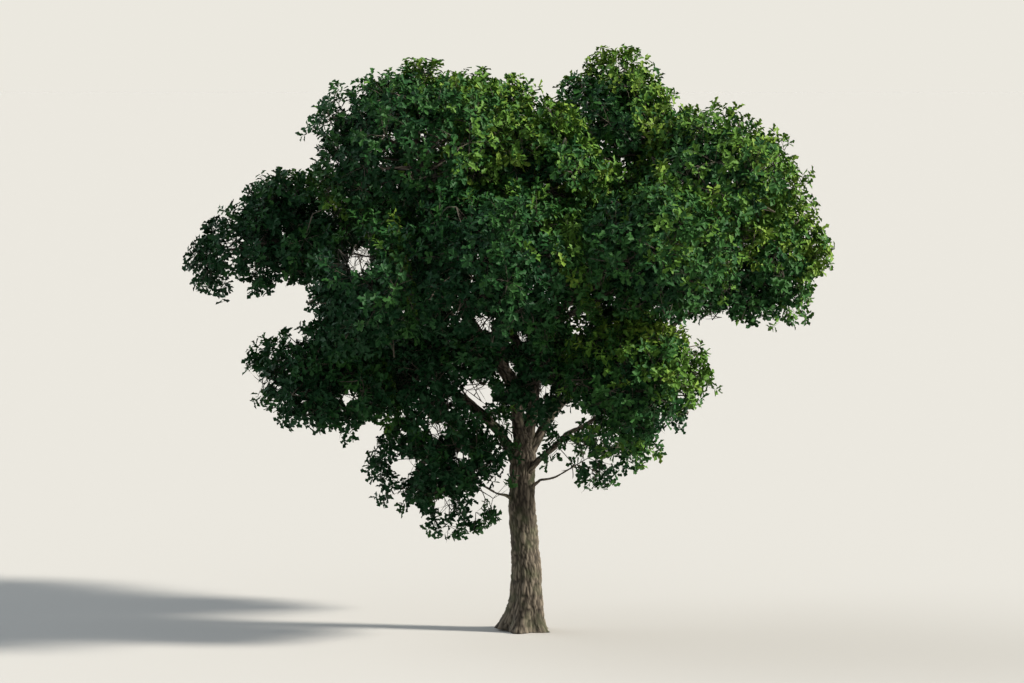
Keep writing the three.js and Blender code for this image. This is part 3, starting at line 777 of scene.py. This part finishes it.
    def leaves(self, stretches):
        """The points and triangles of all leaves, closer together towards a spray's end, and their sprays."""
        count = len(self.spray_feet)
        spray_of = np.repeat(np.arange(count), LEAVES_ON_SPRAY)
        order = np.tile(np.arange(LEAVES_ON_SPRAY), count)
        along = np.sqrt((order + 1) / LEAVES_ON_SPRAY)[:, None]
        feet = self.spray_feet[spray_of] * (1 - along) + self.spray_tips[spray_of] * along
        stalk_ways = self.spray_ways[spray_of]
        turns = order * GOLDEN_ANGLE + self.draw.uniform(0, 2 * math.pi, count)[spray_of]
        aside = turned_about(stalk_ways, turns)
        ways = unit(stalk_ways * LEAF_FORWARD + aside + self.draw.normal(0, LEAF_UNEVEN, feet.shape))
        faces_to = self.outward[self.fan_of][spray_of] * LEAF_FACES_OUT + LEAF_FACES_UP
        faces_to = faces_to + self.draw.normal(0, LEAF_TILT, feet.shape)
        lengths = self.draw.uniform(*LEAF_LENGTH, len(feet))
        tips = feet + ways * lengths[:, None]
        kept = in_space(self.number, tips, LEAF_OVERLAP) & clear_of_limbs(feet, stretches)
        return leaf_blades(feet[kept], ways[kept], faces_to[kept], lengths[kept]), spray_of[kept]

    def spray_tints(self):
        """Each spray's leaf tint: painted light on the crown's sunlit side and where its tuft stands out, and
        painted shade deep in its mass.
        """
        sunward = unit(SUN_SIDE)
        side = unit((self.tufts - CROWN_MIDDLE) / CROWN_HALF) @ sunward
        facing = self.tuft_ways @ sunward
        depth = (self.depth - TUFT_BACK[0]) / (TUFT_BACK[1] - TUFT_BACK[0])
        tint = MIDDLE_TINT + SIDE_LIGHT * side + FACING_LIGHT * facing - DEPTH_SHADE * depth
        # painted light for the whole mass, and painted shade where its shift is below zero
        tint += self.habit.get("painted_light_shift", 0)
        tint += LUMP_LIGHT * (self.tuft_ways - self.carrier_ways) @ sunward
        tint += self.draw.normal(0, TUFT_VARIETY, len(self.tufts))
        tint = tint[self.tuft_of[self.fan_of]] + self.draw.normal(0, SPRAY_VARIETY, len(self.spray_feet))
        return np.clip(np.round(tint), 0, len(LEAF_TINTS) - 1).astype(np.int32)


def foliage_pieces(number, name, limbs, stretches):
    growth = Growth(number, name, limbs[name])
    leaves, spray_of = growth.leaves(stretches)
    tints = np.repeat(growth.spray_tints()[spray_of], len(LEAF_FACES))
    twig_mesh = mesh_of("twigs_" + name, *joined(growth.twigs))
    leaf_mesh = mesh_of("foliage_" + name, *leaves)
    leaf_mesh.polygons.foreach_set("material_index", tints)
    twig_piece = placed_piece("twigs_" + name, twig_mesh, [material("twig_bark")])
    leaf_finishes = [material(tint) for tint in LEAF_TINTS]
    leaf_piece = placed_piece("foliage_" + name, leaf_mesh, leaf_finishes)
    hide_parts("leaves_" + name)
    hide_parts("leaves_" + name)


# Materials
def shader_of(finish):
    return finish.node_tree.nodes["Principled BSDF"]


def set_sockets(node, values):
    for socket, value in values.items():
        node.inputs[socket].default_value = value


def leaf_finish(finish, name):
    sockets = {"Base Color": LEAF_TINTS[name], "Roughness": 0.55, "Specular IOR Level": 0.12}
    set_sockets(shader_of(finish), sockets)


def twig_finish(finish, name):
    set_sockets(shader_of(finish), {"Base Color": TWIG_COLOUR, "Roughness": 0.9})


def bark_finish(finish, name):
    """Grey-brown plates with fissures between them darkened to near black as painted shade, some of them
    greenish with moss.
    """
    nodes, links = finish.node_tree.nodes, finish.node_tree.links
    shader = shader_of(finish)
    set_sockets(shader, {"Roughness": 0.92, "Specular IOR Level": 0.2})
    where = nodes.new("ShaderNodeTexCoord")
    plate = nodes.new("ShaderNodeAttribute")
    plate.attribute_name = "plate"
    ramp = nodes.new("ShaderNodeValToRGB")
    # the ramp paints shade into the fissures, near black below the plates' grey-brown
    shaded_fissure, on_plate = ramp.color_ramp.elements
    shaded_fissure.color = PAINTED_FISSURE_SHADE
    on_plate.color = PLATE_COLOUR
    on_plate.position = 0.8
    patches = nodes.new("ShaderNodeTexNoise")
    set_sockets(patches, {"Scale": 3.2, "Detail": 6})
    moss_share = nodes.new("ShaderNodeMapRange")
    set_sockets(moss_share, {"From Min": 0.48, "From Max": 0.72, "To Max": 0.55})
    moss = nodes.new("ShaderNodeMix")
    moss.data_type = "RGBA"
    set_sockets(moss, {"B": MOSS_COLOUR})
    grain = nodes.new("ShaderNodeTexNoise")
    set_sockets(grain, {"Scale": 90, "Detail": 4})
    bump = nodes.new("ShaderNodeBump")
    set_sockets(bump, {"Strength": 0.5, "Distance": 0.01})
    links.new(where.outputs["Object"], patches.inputs["Vector"])
    links.new(where.outputs["Object"], grain.inputs["Vector"])
    links.new(plate.outputs["Fac"], ramp.inputs["Fac"])
    links.new(patches.outputs["Fac"], moss_share.inputs["Value"])
    links.new(moss_share.outputs["Result"], moss.inputs["Factor"])
    links.new(ramp.outputs["Color"], moss.inputs["A"])
    links.new(moss.outputs["Result"], shader.inputs["Base Color"])
    links.new(grain.outputs["Fac"], bump.inputs["Height"])
    links.new(bump.outputs["Normal"], shader.inputs["Normal"])


FINISHES = {"bark": bark_finish, "twig_bark": twig_finish, **{tint: leaf_finish for tint in LEAF_TINTS}}
made = {}


def material(name):
    if name not in made:
        made[name] = bpy.data.materials.new(name)
        made[name].use_nodes = True
        FINISHES[name](made[name], name)
    return made[name]


# Floor, lamps, sky and camera
def floor():
    """A pale flat floor that reaches to the horizon."""
    bm = bmesh.new()
    bmesh.ops.create_circle(bm, cap_ends=True, segments=FLOOR_SIDES, radius=FLOOR_RADIUS)
    mesh = bpy.data.meshes.new("studio_floor")
    bm.to_mesh(mesh)
    bm.free()
    pale = bpy.data.materials.new("studio_floor")
    pale.use_nodes = True
    set_sockets(shader_of(pale), {"Base Color": FLOOR_COLOUR, "Roughness": 1, "Specular IOR Level": 0})
    mesh.materials.append(pale)
    ground = bpy.data.objects.new("studio_floor", mesh)
    bpy.context.scene.collection.objects.link(ground)


def lamp(name, towards, energy, softness, tone):
    sun = bpy.data.lights.new(name, "SUN")
    sun.energy = energy
    sun.angle = math.radians(softness)
    sun.color = tone
    stand = bpy.data.objects.new(name, sun)
    stand.rotation_euler = Vector(towards).to_track_quat("Z", "Y").to_euler()
    bpy.context.scene.collection.objects.link(stand)


def sky():
    """A pale band above the horizon, and a greyer tone higher up."""
    world = bpy.data.worlds.new("studio")
    world.use_nodes = True
    nodes, links = world.node_tree.nodes, world.node_tree.links
    direction = nodes.new("ShaderNodeTexCoord")
    parts = nodes.new("ShaderNodeSeparateXYZ")
    rise = nodes.new("ShaderNodeMapRange")
    set_sockets(rise, {"From Min": BAND_TOP[0], "From Max": BAND_TOP[1]})
    tone = nodes.new("ShaderNodeMix")
    tone.data_type = "RGBA"
    set_sockets(tone, {"A": HORIZON_TONE, "B": SKY_TONE})
    links.new(direction.outputs["Generated"], parts.inputs["Vector"])
    links.new(parts.outputs["Z"], rise.inputs["Value"])
    links.new(rise.outputs["Result"], tone.inputs["Factor"])
    links.new(tone.outputs["Result"], nodes["Background"].inputs["Color"])
    bpy.context.scene.world = world
    bpy.context.scene.view_settings.view_transform = "Standard"


def camera():
    lens = bpy.data.cameras.new("camera")
    lens.lens = CAMERA_LENS
    lens.clip_end = CAMERA_SEES_TO
    eye = bpy.data.objects.new("camera", lens)
    back = Vector((0, -math.cos(CAMERA_RISE), math.sin(CAMERA_RISE)))
    eye.location = CAMERA_AIM + back * CAMERA_DISTANCE
    eye.rotation_euler = (CAMERA_AIM - eye.location).to_track_quat("-Z", "Y").to_euler()
    bpy.context.scene.collection.objects.link(eye)
    bpy.context.scene.camera = eye


camera()
for name, light in LAMPS.items():
    lamp(name, **light)
sky()
floor()
limbs = all_limbs()
stretches = limb_stretches(limbs)
trunk_piece(limbs["trunk"])
for number, name in enumerate(MASSES):
    bough_piece(name, limbs[name])
    foliage_pieces(number, name, limbs, stretches)
